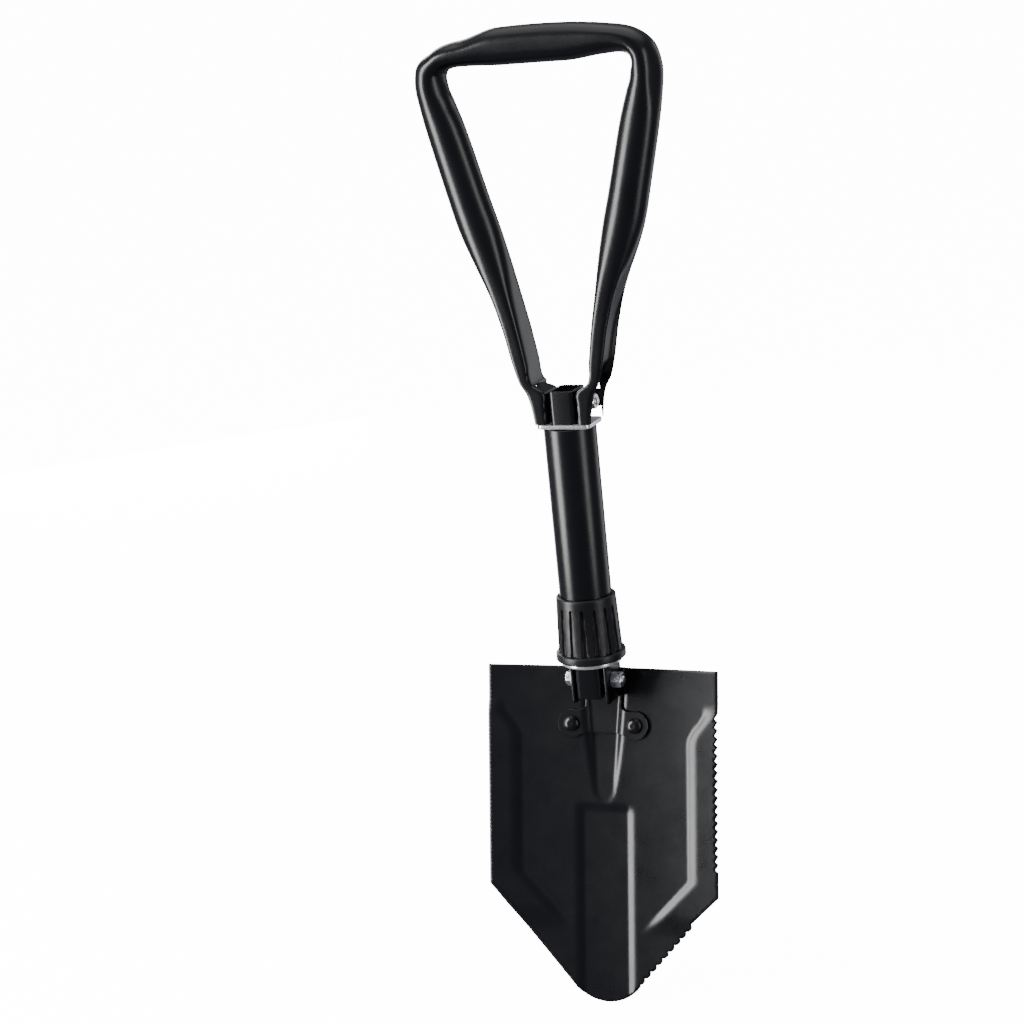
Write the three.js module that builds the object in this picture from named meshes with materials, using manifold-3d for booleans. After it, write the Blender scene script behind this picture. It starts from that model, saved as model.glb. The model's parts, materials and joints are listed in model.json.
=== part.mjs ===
// Tri-fold entrenching tool (camp shovel), opened out and locked.
// Millimetres, +Z up along the shaft with the handle at the top and the blade's point at the bottom.
// The blade's hollow side faces -Y and its saw edge is on +X.
// The origin is on the shaft's axis, at the middle of the bare tube, where the tool is held.
// The core strut carries both folding pivots. The outer tube slides on the core, and the ribbed collar
// screwed on its lower end spreads the tube's top plate and the thrust ring against the two hinges.

import * as THREE from 'three';
import { mergeVertices } from 'three/addons/utils/BufferGeometryUtils.js';
import Module from 'manifold-3d';

const wasm = await Module();
wasm.setup();

// ---- driving dimensions -------------------------------------------------------------------------

const GAP = 0.3;                    // left between pieces that touch

const PIVOT_SPACING = 175;

const TUBE_R = 16;
const TUBE_WALL = 1.5;
const PLATE_TOP = -12;              // below the handle pivot
const PLATE_THICK = 2.5;
const PLATE_W = 34;
const PLATE_D = 26;
const PLATE_CORNER = 4;

const CORE_W = 16;                  // rectangular tube
const CORE_D = 21.5;
const CORE_CORNER = 3;
const CORE_WALL = 1.6;
const CORE_CLEAR = 0.3;             // round the core where it passes through the top plate
const CORE_ABOVE = 8;               // past the handle pivot
const CORE_BELOW = 10;              // past the blade pivot

const BOLT_R = 2.5;                 // M5
const BOLT_HOLE_R = 2.8;
const HEX_FLATS = 8.5;
const HEAD_H = 3.6;
const WASHER_R = 5.6;
const WASHER_THICK = 1.2;
const HANDLE_NUT_H = 5;
const BLADE_NUT_H = 7;
const BOLT_END = 1.2;               // thread standing out of a nut
const BUSH_R = 4.4;

const RING_BOTTOM = 11.7;           // above the blade pivot
const RING_THICK = 2.4;
const RING_IN = 16.5;
const RING_OUT = 18.6;
const COLLAR_H = 40.4;
const COLLAR_BOTTOM = RING_BOTTOM + RING_THICK + GAP;
const COLLAR_TOP = COLLAR_BOTTOM + COLLAR_H;
const COLLAR_FLANGE_R = 21.5;
const COLLAR_FLANGE_H = 5;
const COLLAR_LOW_R = 19.7;
const COLLAR_TOP_R = 18.3;
const COLLAR_GROOVES = 16;
const COLLAR_BORE = TUBE_R + GAP;
const HOLD_HEIGHT = (COLLAR_TOP + PIVOT_SPACING + PLATE_TOP - PLATE_THICK) / 2; // above the blade pivot
const INSERT_BOTTOM = 21;           // above the blade pivot
const INSERT_H = 7.4;
const INSERT_R = 17.6;
const THREAD_R = 15.6;
const SLEEVE_BOTTOM = 20.5;
const TUBE_BOTTOM = 35.3;
const SLEEVE_TOP = 50;
const SLEEVE_BORE = 12.7;

const LEG_DEPTH = 12.3;             // half depth of the pressed legs, front to back
const LEG_WALL = 1.8;
const HANDLE_TUBE_R = 11.7;
const EAR_BOTTOM = PLATE_TOP + GAP; // the ears bear on the top plate, below the handle pivot
const EAR_SWING_R = -EAR_BOTTOM;    // what passes the plate as the handle folds back stays inside this
const LEG_CLEAR_X = 17.3;           // the legs straddle the plate and tube beyond this
const GRIP_HEIGHT = 212;            // handle pivot to the middle of the grip
const EAR_INNER = 9.8;              // inner faces of the handle's ears
const FOOT_TOP = 16;                // the foot's bend ends here, above the handle pivot
const LEG_TOP = 186;                // the grip's bend starts here
const RECESS = 3;                   // each leg's outer wall is pressed in by this much
const RECESS_FADE = 48;             // full below, gone at the top
const RECESS_TOP = 95;
const CAVITY_TOP = 75;              // the flattened bore runs into the round one below this

const BLADE_W = 152;
const BLADE_LEN = 210.6;            // along the blade
const BLADE_THICK = 1.8;
const BLADE_PITCH = THREE.MathUtils.degToRad(12.7);
const BLADE_TOP_Y = 11.5;           // the rim's top corner, behind and above the blade pivot
const BLADE_TOP_Z = 3;
const SHOULDER = 139;
const TIP_R = 28;
const SAW_FROM = 25.5;
const SAW_TEETH = 19;
const SAW_PITCH = 5.15;
const SAW_DEPTH = 1.7;
const SCALLOP_FROM = 26;            // from the shoulder, along the lower edge
const SCALLOPS = 9;
const SCALLOP_PITCH = 6.05;
const SCALLOP_DEPTH = 1.9;

const DISH = 5.2;                   // hollow of the blade across its width
const STEP = 1.5;                   // the side flanges stand this far forward of the field
const STEP_X = 55.5;
const STEP_RUN = 7.5;
const SOCKET_DEPTH = 3;               // pressed hollow below the hinge
const SOCKET_LEN = 92;
const CHANNEL_DEPTH = 1.3;            // stiffening channel down to the point
const CHANNEL_X = 15;
const CHANNEL_RUN = 6;
const CHANNEL_FROM = 84;

const BRACKET_THICK = 1.8;
const EAR_IN = 10.1;                // inner faces of the bracket's ears
const EAR_FRONT = -8;
const EAR_TOP = RING_BOTTOM - 0.4;
const EAR_BOTTOM_Z = -14.2;
const NECK_FROM = 8;
const NECK_TO = 41.5;
const RIVET_X = 21;
const RIVET_V = 35.8;
const LOBE_R = 8.9;
const RIVET_SHANK = 2.5;
const RIVET_HOLE = 2.8;
const RIVET_DOME_R = 4.9;
const RIVET_DOME_H = 2.4;
const RIVET_TAIL_R = 4.2;
const RIVET_TAIL_H = 1.4;

// ---- finishes -----------------------------------------------------------------------------------

const coat = () => new THREE.MeshStandardMaterial({ color: 0x1a1b1e, roughness: 0.42, metalness: 0.3 });
const zinc = () => new THREE.MeshStandardMaterial({ color: 0xb9bcc0, roughness: 0.32, metalness: 1 });
const steel = () => new THREE.MeshStandardMaterial({ color: 0x8d8f92, roughness: 0.4, metalness: 1 });
const nylon = () => new THREE.MeshStandardMaterial({ color: 0x161719, roughness: 0.5, metalness: 0 });

// ---- solids -------------------------------------------------------------------------------------

// A closed geometry whose vertices are shared and whose faces point out, as a Manifold.
function solid(geometry) {
  const bare = new THREE.BufferGeometry();
  bare.setAttribute('position', geometry.attributes.position.clone());
  if (geometry.index) bare.setIndex(geometry.index.clone());
  const merged = mergeVertices(bare, 1e-4);
  const at = merged.attributes.position;
  const corner = (i) => new THREE.Vector3().fromBufferAttribute(at, i);
  const faces = [];
  let volume = 0;
  for (let i = 0; i < merged.index.count; i += 3) {
    const [a, b, c] = [0, 1, 2].map((k) => merged.index.getX(i + k));
    if (a === b || b === c || c === a) continue;
    faces.push([a, b, c]);
    volume += corner(a).dot(corner(b).cross(corner(c)));
  }
  const ordered = volume < 0 ? faces.map(([a, b, c]) => [a, c, b]) : faces;
  return new wasm.Manifold(new wasm.Mesh({
    numProp: 3,
    vertProperties: new Float32Array(at.array),
    triVerts: new Uint32Array(ordered.flat()),
  }));
}

// A Manifold back as a geometry with flat normals.
function geometryOf(manifold) {
  const mesh = manifold.getMesh();
  const geometry = new THREE.BufferGeometry();
  geometry.setAttribute('position', new THREE.BufferAttribute(new Float32Array(mesh.vertProperties), 3));
  geometry.setIndex(new THREE.BufferAttribute(new Uint32Array(mesh.triVerts), 1));
  geometry.computeVertexNormals();
  return geometry;
}

function named(name, body, material) {
  const mesh = new THREE.Mesh(geometryOf(body), material);
  mesh.name = name;
  return mesh;
}

// A turned solid about Z. The profile is a closed loop of [radius, height].
function turned(profile, segments = 48) {
  const points = [...profile, profile[0]].map(([r, z]) => new THREE.Vector2(r, z));
  return new THREE.LatheGeometry(points, segments).rotateX(Math.PI / 2);
}

// The same, lying along X.
const turnedAlongX = (profile, segments = 24) => turned(profile, segments).rotateY(Math.PI / 2);

const tubeProfile = (inner, outer, from, to) => [[inner, from], [outer, from], [outer, to], [inner, to]];
const rodProfile = (radius, from, to) => [[0, from], [radius, from], [radius, to], [0, to]];

// A rounded rectangle in the XY plane, w across and d deep.
function roundedOutline(target, w, d, r) {
  const [x, y] = [w / 2 - r, d / 2 - r];
  target.absarc(x, -y, r, -Math.PI / 2, 0);
  target.absarc(x, y, r, 0, Math.PI / 2);
  target.absarc(-x, y, r, Math.PI / 2, Math.PI);
  target.absarc(-x, -y, r, Math.PI, 1.5 * Math.PI);
  target.closePath();
  return target;
}

function prism(shape, from, to, curveSegments = 5) {
  const options = { depth: to - from, bevelEnabled: false, curveSegments };
  return new THREE.ExtrudeGeometry(shape, options).translate(0, 0, from);
}

// A shape drawn in (y, z) and extruded along X.
const prismAlongX = (shape, from, to, curveSegments = 8) =>
  prism(shape, from, to, curveSegments).applyMatrix4(new THREE.Matrix4().makeBasis(
    new THREE.Vector3(0, 1, 0), new THREE.Vector3(0, 0, 1), new THREE.Vector3(1, 0, 0)));

// Skin through rings that hold equally many points, closed at both ends.
function loft(rings) {
  const count = rings[0].length;
  const points = rings.flat();
  const index = [];
  for (let i = 0; i + 1 < rings.length; i++) {
    for (let j = 0; j < count; j++) {
      const [a, b] = [i * count + j, i * count + ((j + 1) % count)];
      index.push(a, b, b + count, a, b + count, a + count);
    }
  }
  const cap = (first, flip) => {
    for (let j = 1; j + 1 < count; j++) {
      index.push(first, first + j + (flip ? 1 : 0), first + j + (flip ? 0 : 1));
    }
  };
  cap(0, true);
  cap((rings.length - 1) * count, false);
  return new THREE.BufferGeometry().setFromPoints(points).setIndex(index);
}

const smooth = (from, to, x) => THREE.MathUtils.smoothstep(x, Math.min(from, to), Math.max(from, to));
const mix = THREE.MathUtils.lerp;

// ---- core strut, with a bush through each end -----------------------------------------------------

function coreStrut() {
  const outline = roundedOutline(new THREE.Shape(), CORE_W, CORE_D, CORE_CORNER);
  const hollow = roundedOutline(
    new THREE.Path(), CORE_W - 2 * CORE_WALL, CORE_D - 2 * CORE_WALL, CORE_CORNER - CORE_WALL);
  outline.holes.push(hollow);
  const tube = solid(prism(outline, -CORE_BELOW, PIVOT_SPACING + CORE_ABOVE));
  const hole = () => turnedAlongX(rodProfile(BUSH_R + GAP, -CORE_W, CORE_W));
  return tube.subtract(solid(hole())).subtract(solid(hole().translate(0, 0, PIVOT_SPACING)));
}

const pivotBush = (halfLength) => solid(turnedAlongX(tubeProfile(BOLT_HOLE_R, BUSH_R, -halfLength, halfLength)));

// A hexagonal bar along X with both ends chamfered.
function hexagon(from, to) {
  const corner = HEX_FLATS / 2 / Math.cos(Math.PI / 6);
  const chamfer = 0.5;
  return solid(turnedAlongX([
    [0, from], [corner - chamfer, from], [corner, from + chamfer],
    [corner, to - chamfer], [corner - chamfer, to], [0, to],
  ], 6));
}

function hexBolt(headAt, endAt) {
  const shankFrom = -headAt - HEAD_H / 2;
  const shank = turnedAlongX([
    [0, shankFrom], [BOLT_R, shankFrom], [BOLT_R, endAt - 0.6], [BOLT_R - 0.6, endAt], [0, endAt],
  ], 16);
  return solid(shank).add(hexagon(-headAt - HEAD_H, -headAt));
}

const washer = (from) => solid(turnedAlongX(tubeProfile(BOLT_HOLE_R, WASHER_R, from, from + WASHER_THICK)));

function hexNut(from, height) {
  const hole = turnedAlongX(rodProfile(BOLT_HOLE_R, from - 1, from + height + 1));
  return hexagon(from, from + height).subtract(solid(hole));
}

// ---- outer tube and what is fixed to it -----------------------------------------------------------

function topPlate() {
  const top = PIVOT_SPACING + PLATE_TOP;
  const outline = roundedOutline(new THREE.Shape(), PLATE_W, PLATE_D, PLATE_CORNER);
  const clear = CORE_CLEAR * 2;
  outline.holes.push(roundedOutline(new THREE.Path(), CORE_W + clear, CORE_D + clear, CORE_CORNER));
  return solid(prism(outline, top - PLATE_THICK, top));
}

function shaftTube() {
  const top = PIVOT_SPACING + PLATE_TOP - PLATE_THICK - GAP;
  return solid(turned(tubeProfile(TUBE_R - TUBE_WALL, TUBE_R, TUBE_BOTTOM, top), 40));
}

// Brazed into the tube's lower end: a spigot above, the collar's thread below.
function threadedSleeve() {
  const spigot = TUBE_R - TUBE_WALL - GAP;
  const shoulder = TUBE_BOTTOM - GAP;
  return solid(turned([
    [SLEEVE_BORE, SLEEVE_BOTTOM], [THREAD_R - 0.6, SLEEVE_BOTTOM], [THREAD_R, SLEEVE_BOTTOM + 0.6],
    [THREAD_R, shoulder], [spigot, shoulder], [spigot, SLEEVE_TOP], [SLEEVE_BORE, SLEEVE_TOP],
  ], 40));
}

const thrustRing = () => solid(turned(tubeProfile(RING_IN, RING_OUT, RING_BOTTOM, RING_BOTTOM + RING_THICK)));

// ---- locking collar -------------------------------------------------------------------------------

function lockCollar() {
  const flangeTop = COLLAR_BOTTOM + COLLAR_FLANGE_H;
  const pocket = [INSERT_BOTTOM - GAP, INSERT_BOTTOM + INSERT_H + GAP];
  const body = solid(turned([
    [COLLAR_BORE, COLLAR_BOTTOM], [COLLAR_FLANGE_R - 0.8, COLLAR_BOTTOM],
    [COLLAR_FLANGE_R, COLLAR_BOTTOM + 0.8], [COLLAR_FLANGE_R, flangeTop - 0.8],
    [COLLAR_FLANGE_R - 0.8, flangeTop], [COLLAR_LOW_R, flangeTop + 0.4],
    [COLLAR_TOP_R, COLLAR_TOP - 1.2], [COLLAR_TOP_R - 0.9, COLLAR_TOP], [COLLAR_BORE, COLLAR_TOP],
    [COLLAR_BORE, pocket[1]], [INSERT_R + GAP, pocket[1]],
    [INSERT_R + GAP, pocket[0]], [COLLAR_BORE, pocket[0]],
  ], 48));
  // Finger grooves, wider towards the flange, with rounded tops.
  const [low, high] = [flangeTop + 0.6, COLLAR_TOP - 6.5];
  const [lowR, highR] = [2.0, 1.0];
  const groove = new THREE.CylinderGeometry(highR, lowR, high - low, 6).rotateX(Math.PI / 2);
  const sink = 0.35;
  const lean = Math.atan((COLLAR_LOW_R - COLLAR_TOP_R) / (COLLAR_TOP - flangeTop));
  groove.rotateY(-lean).translate((COLLAR_LOW_R + COLLAR_TOP_R) / 2 + sink, 0, (low + high) / 2);
  const end = new THREE.SphereGeometry(highR, 6, 4).translate(COLLAR_TOP_R + sink + 0.25, 0, high);
  const cutter = solid(groove).add(solid(end));
  let collar = body;
  for (let i = 0; i < COLLAR_GROOVES; i++) {
    collar = collar.subtract(cutter.rotate([0, 0, (i + 0.5) * 360 / COLLAR_GROOVES]));
  }
  return collar;
}

const collarInsert = () =>
  solid(turned(tubeProfile(THREAD_R + GAP, INSERT_R, INSERT_BOTTOM, INSERT_BOTTOM + INSERT_H), 40));

// ---- handle ---------------------------------------------------------------------------------------

const BORE_STATION = 6.2;           // the leg is a tube above this station
// How far each upper bend is flattened on its outside, and pinched from inside the frame.
const LEFT_CORNER = { press: 4, pinch: 0.8 };
const RIGHT_CORNER = { press: 0.5, pinch: 2.4 };

// Half of the handle, from an ear's foot to the middle of the grip: centre across, centre above the
// pivot, turn of the section out of level (degrees), half thickness, half depth, squareness.
const HANDLE_STATIONS = [
  [14.0, EAR_BOTTOM, 0, 4.2, LEG_DEPTH, 0.3],
  [14.9, 0, 0, 5.1, LEG_DEPTH, 0.3],
  [16.0, 7, 0, 6.2, LEG_DEPTH, 0.3],
  [21.8, 13.2, 0, 3.9, LEG_DEPTH, 0.32],
  [24.4, 25, 0, 5.0, LEG_DEPTH, 0.36],
  [28.2, 45, 0, 5.8, LEG_DEPTH, 0.45],
  [33.2, 65, 0, 7.4, 12.1, 0.6],
  [39.4, 85, 0, 10.6, 11.9, 0.85],
  [45.6, 105, 0, 12.7, HANDLE_TUBE_R, 1],
  [51.0, 125, 0, 12.5, HANDLE_TUBE_R, 1],
  [61.0, 165, 0, 11.9, HANDLE_TUBE_R, 1],
  [65.4, 182, 4, 10.8, 11.9, 1],
  [67.2, 192, 20, 10.2, 12.1, 1],
  [65.4, 202, 46, 9.9, 12.1, 1],
  [58.0, 208.2, 70, 9.9, 12.0, 1],
  [44.0, 210.7, 84, 10.4, 11.7, 1],
  [22.0, 211.7, 89, 11.0, 11.3, 1],
  [0, GRIP_HEIGHT, 90, 11.2, 11.2, 1],
];

const powered = (value, power) => Math.sign(value) * Math.abs(value) ** power;

// The handle's section at a place along one half, `inset` inside its surface.
function sectionRing(at, points, corner, inset = 0) {
  const i = Math.min(Math.floor(at), HANDLE_STATIONS.length - 2);
  const row = HANDLE_STATIONS[i].map((value, c) => mix(value, HANDLE_STATIONS[i + 1][c], at - i));
  const tilt = THREE.MathUtils.degToRad(row[2]);
  const pressed = corner.press * smooth(30, 62, row[2]) * smooth(22, 46, row[0]) / 2;
  const pinched = corner.pinch * smooth(30, 66, row[2]) * smooth(18, 60, row[0]);
  const x = row[0] + (pinched - pressed) * Math.cos(tilt);
  const z = row[1] + (pinched - pressed) * Math.sin(tilt);
  const a = row[3] - pressed - pinched - inset;
  const b = row[4] - inset;
  const square = row[5];
  const ring = [];
  for (let j = 0; j < points; j++) {
    const turn = ((j + 0.5) / points) * 2 * Math.PI;
    const out = a * powered(Math.cos(turn), square);
    ring.push(new THREE.Vector3(
      x + out * Math.cos(tilt), b * powered(Math.sin(turn), square), z + out * Math.sin(tilt)));
  }
  return ring;
}

// The skin of both halves from one ear to the other, starting at station number `first`.
function handleSkin(first, steps, points, inset) {
  const last = HANDLE_STATIONS.length - 1;
  const half = (corner) => Array.from({ length: steps + 1 }, (_, k) =>
    sectionRing(mix(first, last, k / steps), points, corner, inset));
  const left = half(LEFT_CORNER).slice(0, -1).reverse()
    .map((ring) => ring.map(({ x, y, z }) => new THREE.Vector3(-x, y, z)));
  return loft([...half(RIGHT_CORNER), ...left]);
}

// A leg's rectangular void through the given heights above the pivot. span(x, a, z) gives its inner and
// outer sides, where the leg's section is centred on x and is a either way.
function legVoid(heights, span) {
  return solid(loft(heights.map((z) => {
    const i = Math.max(0, HANDLE_STATIONS.findIndex((row) => row[1] >= z) - 1);
    const [low, high] = [HANDLE_STATIONS[i], HANDLE_STATIONS[i + 1]];
    const t = THREE.MathUtils.clamp((z - low[1]) / (high[1] - low[1]), 0, 1);
    const [x, a, b] = [0, 3, 4].map((c) => mix(low[c], high[c], t));
    const [from, to] = span(x, a, z);
    const half = b - LEG_WALL;
    return [[from, -half], [to, -half], [to, half], [from, half]]
      .map(([px, py]) => new THREE.Vector3(px, py, z));
  })));
}

// The outside of a leg: an open channel round the bolt, then a shallow recess that fades out above.
const legRecess = () => legVoid([-14, 0, 7, 13.2, 25, 45, 62, 78, RECESS_TOP], (x, a, z) => {
  const shallow = mix(x + a - RECESS, x + a + 0.4, smooth(RECESS_FADE, RECESS_TOP, z));
  return [mix(x - a + LEG_WALL, shallow, smooth(13.2, 25, z)), x + a + 4];
});

// The flattened bore between the two walls of a leg, open into the channel below.
const legCavity = () => legVoid([9, 13.2, 25, 45, 62, CAVITY_TOP], (x, a) =>
  [x - a + LEG_WALL, x + a - RECESS - LEG_WALL]);

// The bent tube with its pressed legs and pierced ears, in one.
function handleTube() {
  // A tube whose bore opens into the pressed channel of each leg.
  const bore = handleSkin(BORE_STATION, 14, 12, TUBE_WALL);
  let handle = solid(handleSkin(0, 34, 16, 0)).subtract(solid(bore));

  for (const cut of [legRecess(), legCavity()]) {
    handle = handle.subtract(cut).subtract(cut.mirror([1, 0, 0]));
  }

  // The ears' rear corners follow a circle about the pivot, so that they roll past the plate.
  const relief = new THREE.Shape([
    [0, -14], [16, -14], [16, 14], [-7, 14], [-7, 0], [0, 0]].map((p) => new THREE.Vector2(...p)));
  const swing = solid(turnedAlongX(rodProfile(EAR_SWING_R, -30, 30), 40));
  const cut = solid(prismAlongX(relief, -LEG_CLEAR_X, LEG_CLEAR_X)).subtract(swing);
  const boltHole = solid(turnedAlongX(rodProfile(BOLT_HOLE_R, -30, 30)));
  return handle.subtract(cut).subtract(boltHole);
}

const wholeHandle = handleTube();

// The part of the handle on one side (-1, 1, or 0 for both) between two heights above its pivot.
function handlePiece(side, low, high) {
  const reach = 100;
  const [from, to] = [side > 0 ? 0 : -reach, side < 0 ? 0 : reach];
  const outline = new THREE.Shape([[from, -reach], [to, -reach], [to, reach], [from, reach]]
    .map((corner) => new THREE.Vector2(...corner)));
  return wholeHandle.intersect(solid(prism(outline, low, high)));
}

const handleFoot = (side) => handlePiece(side, EAR_BOTTOM - GAP, FOOT_TOP);
const handleLeg = (side) => handlePiece(side, FOOT_TOP + GAP, LEG_TOP);
const handleGrip = () => handlePiece(0, LEG_TOP + GAP, GRIP_HEIGHT * 1.5);

// ---- blade ----------------------------------------------------------------------------------------

// Depth of the blade's front surface behind its rim, at x across and v down the blade.
function bladeDepth(x, v) {
  const across = Math.abs(x);
  const half = BLADE_W / 2;
  const dish = DISH * (1 - (across / half) ** 2);

  // The flanges' inner edge runs straight, and turns outwards above and inwards below.
  const outwards = 11 * (1 - smooth(26, 48, v)) ** 1.5;
  const inwards = Math.max(0, v - 131) * 0.95;
  const edge = STEP_X + outwards - inwards;
  const fade = smooth(20, 30, v) * (1 - smooth(150, 168, v));
  const rise = THREE.MathUtils.clamp((across - edge) / STEP_RUN, 0, 1);
  const step = STEP * (1 - fade * (1 - (1 - rise) ** 2));

  // The socket narrows and rises to nothing.
  const along = THREE.MathUtils.clamp(v / SOCKET_LEN, 0, 1);
  const brow = mix(17.5, 9.5, along) * Math.sqrt(Math.max(0, 1 - along ** 6));
  const floor = Math.max(0, mix(11.5, 4.5, along) - 9 * smooth(0.85, 1, along));
  const depth = SOCKET_DEPTH * (1 - smooth(0.3, 1.05, along));
  const out = THREE.MathUtils.clamp((across - floor) / Math.max(brow - floor, 0.5), 0, 1);
  const socket = depth * (1 - out) ** 2;

  const channel = CHANNEL_DEPTH * smooth(CHANNEL_FROM, CHANNEL_FROM + 8, v)
    * (1 - THREE.MathUtils.clamp((across - CHANNEL_X) / CHANNEL_RUN, 0, 1)) ** 2;
  return dish + step + Math.max(socket, channel);
}

// Blade coordinates (across, down, behind the rim) to the tool's, with the blade pivot at the origin.
const BLADE_FRAME = new THREE.Matrix4().makeBasis(
  new THREE.Vector3(1, 0, 0),
  new THREE.Vector3(0, -Math.sin(BLADE_PITCH), -Math.cos(BLADE_PITCH)),
  new THREE.Vector3(0, Math.cos(BLADE_PITCH), -Math.sin(BLADE_PITCH)),
).setPosition(0, BLADE_TOP_Y, BLADE_TOP_Z);

// A sheet that follows the blade's surface: front face `above` it, back face `above - thick`.
function formedSheet(columns, rows, above, thick) {
  const points = [];
  for (const behind of [-above, thick - above]) {
    for (const v of rows) {
      for (const x of columns) points.push(new THREE.Vector3(x, v, bladeDepth(x, v) + behind));
    }
  }
  const [nx, ny] = [columns.length, rows.length];
  const back = nx * ny;
  const index = [];
  const quad = (a, b, c, d) => index.push(a, b, c, a, c, d);
  for (let j = 0; j + 1 < ny; j++) {
    for (let i = 0; i + 1 < nx; i++) {
      const k = j * nx + i;
      quad(k, k + 1, k + nx + 1, k + nx);
      quad(back + k, back + k + nx, back + k + nx + 1, back + k + 1);
    }
  }
  for (let i = 0; i + 1 < nx; i++) {
    const k = (ny - 1) * nx + i;
    quad(i, back + i, back + i + 1, i + 1);
    quad(k, k + 1, back + k + 1, back + k);
  }
  for (let j = 0; j + 1 < ny; j++) {
    const [k, m] = [j * nx, j * nx + nx - 1];
    quad(k, k + nx, back + k + nx, back + k);
    quad(m, back + m, back + m + nx, m + nx);
  }
  return new THREE.BufferGeometry().setFromPoints(points).setIndex(index);
}

const mirroredSteps = (steps) => [...steps.slice().reverse().map((x) => -x), 0, ...steps];

// Where the blade and the bracket lying on it are sampled, across and down.
const COLUMNS = mirroredSteps([4, 8, 11.5, 15, 17, 21, 26, 36, 47, 55.5, 58.5, 63, 70, 78]);
const ROWS = [-2, 4, 12, 20, 26, 32, 38, 46, 56, 66, 75, 84, 88, 92, 112, 131, 138, 146, 154, 162, 170, 190, 213];

// The blade's outline in (across, down): straight sides, 48 degree lower edges and a round point.
function bladeOutline() {
  const half = BLADE_W / 2;
  const centreV = BLADE_LEN - TIP_R;
  const shoulder = new THREE.Vector2(half, SHOULDER);
  const centre = new THREE.Vector2(0, centreV);
  const toCentre = centre.clone().sub(shoulder);
  const span = toCentre.length();
  const lower = toCentre.angle() - Math.asin(TIP_R / span);
  const direction = new THREE.Vector2(Math.cos(lower), Math.sin(lower));
  const run = Math.sqrt(span ** 2 - TIP_R ** 2);
  const touch = shoulder.clone().addScaledVector(direction, run);
  const inward = new THREE.Vector2(-direction.y, direction.x);
  if (inward.dot(toCentre) < 0) inward.negate();

  const outline = new THREE.Shape();
  outline.moveTo(-half, 0);
  outline.lineTo(half, 0);
  // Raked saw teeth: each falls back slowly below its point and returns sharply.
  for (let i = 0; i < SAW_TEETH; i++) {
    const v = SAW_FROM + i * SAW_PITCH;
    outline.lineTo(half, v);
    outline.lineTo(half - SAW_DEPTH, v + 0.68 * SAW_PITCH);
  }
  outline.lineTo(half, SAW_FROM + SAW_TEETH * SAW_PITCH);
  outline.lineTo(shoulder.x, shoulder.y);
  // Rounded serrations.
  for (let i = 0; i < SCALLOPS; i++) {
    for (const t of [0, 0.12, 0.32, 0.68, 0.88]) {
      const along = SCALLOP_FROM + (i + t) * SCALLOP_PITCH;
      const rise = Math.sin(Math.PI * t) ** 0.6;
      const point = shoulder.clone().addScaledVector(direction, along)
        .addScaledVector(inward, SCALLOP_DEPTH * (1 - rise));
      outline.lineTo(point.x, point.y);
    }
  }
  const last = shoulder.clone().addScaledVector(direction, SCALLOP_FROM + SCALLOPS * SCALLOP_PITCH);
  outline.lineTo(last.x, last.y);
  outline.lineTo(touch.x, touch.y);
  const start = Math.atan2(touch.y - centreV, touch.x);
  outline.absarc(0, centreV, TIP_R, start, Math.PI - start, false);
  outline.lineTo(-shoulder.x, shoulder.y);
  outline.closePath();
  return outline;
}

const rivetAt = (side) => new THREE.Vector3(side * RIVET_X, RIVET_V, bladeDepth(RIVET_X, RIVET_V));
const rivetHole = (side) => {
  const { x, y, z } = rivetAt(side);
  return solid(turned(rodProfile(RIVET_HOLE, -12, 12), 16).translate(x, y, z));
};

function bladeSheet() {
  const sheet = solid(formedSheet(COLUMNS, ROWS, 0, BLADE_THICK));
  const outline = solid(prism(bladeOutline(), -10, 40, 16));
  return sheet.intersect(outline).subtract(rivetHole(-1)).subtract(rivetHole(1));
}

// The bracket's base lies on the blade: a neck in the socket and a lobe round each rivet.
function bracketBase() {
  const reach = RIVET_X + LOBE_R + 10;
  const columns = COLUMNS.filter((x) => Math.abs(x) < reach);
  const rows = ROWS.filter((v) => v > 0 && v < NECK_TO + 16);
  const sheet = solid(formedSheet(columns, rows, GAP + BRACKET_THICK, BRACKET_THICK));
  const neck = EAR_IN + BRACKET_THICK;
  const outline = new THREE.Shape();
  outline.moveTo(-neck, NECK_FROM);
  outline.lineTo(neck, NECK_FROM);
  outline.lineTo(neck, RIVET_V - LOBE_R - 1.5);
  outline.quadraticCurveTo(neck + 0.6, RIVET_V - LOBE_R, RIVET_X - 3, RIVET_V - LOBE_R + 0.5);
  outline.absarc(RIVET_X, RIVET_V, LOBE_R, -0.61 * Math.PI, 0.72 * Math.PI, false);
  outline.lineTo(neck - 1, NECK_TO);
  outline.lineTo(1 - neck, NECK_TO);
  outline.absarc(-RIVET_X, RIVET_V, LOBE_R, 0.28 * Math.PI, 1.61 * Math.PI, false);
  outline.quadraticCurveTo(-neck - 0.6, RIVET_V - LOBE_R, -neck, RIVET_V - LOBE_R - 1.5);
  outline.closePath();
  return sheet.intersect(solid(prism(outline, -10, 40, 10)));
}

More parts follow.
